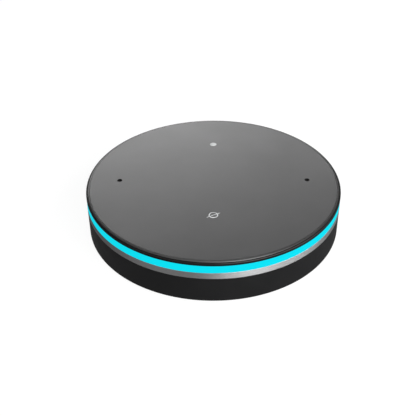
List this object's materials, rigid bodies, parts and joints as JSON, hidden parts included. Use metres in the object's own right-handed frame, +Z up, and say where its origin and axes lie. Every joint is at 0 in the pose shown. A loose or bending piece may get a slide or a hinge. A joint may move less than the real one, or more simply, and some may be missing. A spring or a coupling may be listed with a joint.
{
  "type": "smart speaker",
  "caption": "Flat round smart speaker with a touch top, a light ring, an aluminium trim ring, rubber feet and a driver that fires down.",
  "frame": {"origin": "on the table under the centre, in the plane of the feet's undersides", "axes": "+Z up, -Y towards the front, where the mute icon is, +Y towards the power socket at the back, +X to the right seen from the front"},
  "size_m": [0.1, 0.1, 0.0186],
  "materials": {
    "sanded_grey": "fine sanded metallic paint, satin",
    "icon_white": "translucent white inlay",
    "bezel_black": "satin moulded plastic",
    "diffuser": "lit cyan diffuser",
    "trim_aluminium": "brushed round the ring",
    "base_black": "fine moulded grain, satin",
    "foot_rubber": "matte",
    "frame_plastic": "moulded",
    "white_plastic": "matte reflective white",
    "board_green": "green solder mask on glass-fibre board",
    "board_white": "white solder mask",
    "chip_black": "moulded epoxy",
    "tinned_steel": "tinned sheet",
    "copper": "bare copper",
    "led_body": "white package with a clear face",
    "foam": "closed-cell foam",
    "thermal_pad": "soft silicone",
    "spreader_aluminium": "plain sheet",
    "flex_amber": "polyimide film",
    "ferrite": "sintered, dull",
    "zinc_steel": "zinc plated",
    "cone_paper": "coated paper pulp",
    "surround_rubber": "soft butyl",
    "spider_cloth": "resin-dipped cloth"
  },
  "bodies": {
    "enclosure": {"top_plate": "sanded_grey", "action_icon": "icon_white", "mute_icon": "icon_white", "top_bezel": "bezel_black", "light_ring": "diffuser", "trim_ring": "trim_aluminium", "base_shell": "base_black", "bottom_cover": "base_black", "foot_1": "foot_rubber", "foot_2": "foot_rubber", "foot_3": "foot_rubber", "foot_4": "foot_rubber", "mid_frame": "frame_plastic", "icon_light_well_action": "frame_plastic", "icon_light_well_mute": "frame_plastic", "light_reflector": "white_plastic", "ribbon_connector": "white_plastic", "touch_board": "board_green", "main_board": "board_green", "led_board": "board_white", "processor": "chip_black", "memory_chip": "chip_black", "amplifier_chip": "chip_black", "wireless_module": "tinned_steel", "usb_socket": "tinned_steel", "mic_left": "tinned_steel", "mic_right": "tinned_steel", "touch_pad_action": "copper", "touch_pad_mute": "copper", "icon_led_action": "led_body", "icon_led_mute": "led_body", "ring_led_1": "led_body", "ring_led_2": "led_body", "ring_led_3": "led_body", "ring_led_4": "led_body", "ring_led_5": "led_body", "ring_led_6": "led_body", "ring_led_7": "led_body", "ring_led_8": "led_body", "mic_gasket_left": "foam", "mic_gasket_right": "foam", "speaker_gasket": "foam", "thermal_pad": "thermal_pad", "heat_spreader": "spreader_aluminium", "ribbon_cable": "flex_amber", "antenna_left": "flex_amber", "antenna_right": "flex_amber", "speaker_magnet": "ferrite", "speaker_basket": "zinc_steel", "speaker_yoke": "zinc_steel", "pole_plate": "zinc_steel", "case_screw_1": "zinc_steel", "case_screw_2": "zinc_steel", "case_screw_3": "zinc_steel", "case_screw_4": "zinc_steel", "surround": "surround_rubber", "spider": "spider_cloth"},
    "diaphragm": {"voice_coil": "copper", "speaker_cone": "cone_paper", "dust_cap": "cone_paper"}
  },
  "joints": [
    {"name": "cone_travel", "type": "slide", "parent": "enclosure", "child": "diaphragm", "axis": [0, 0, 1], "range_m": [-0.001, 0.001], "stiffness_N_per_m": 1000, "deforming": ["surround", "spider"]}
  ]
}
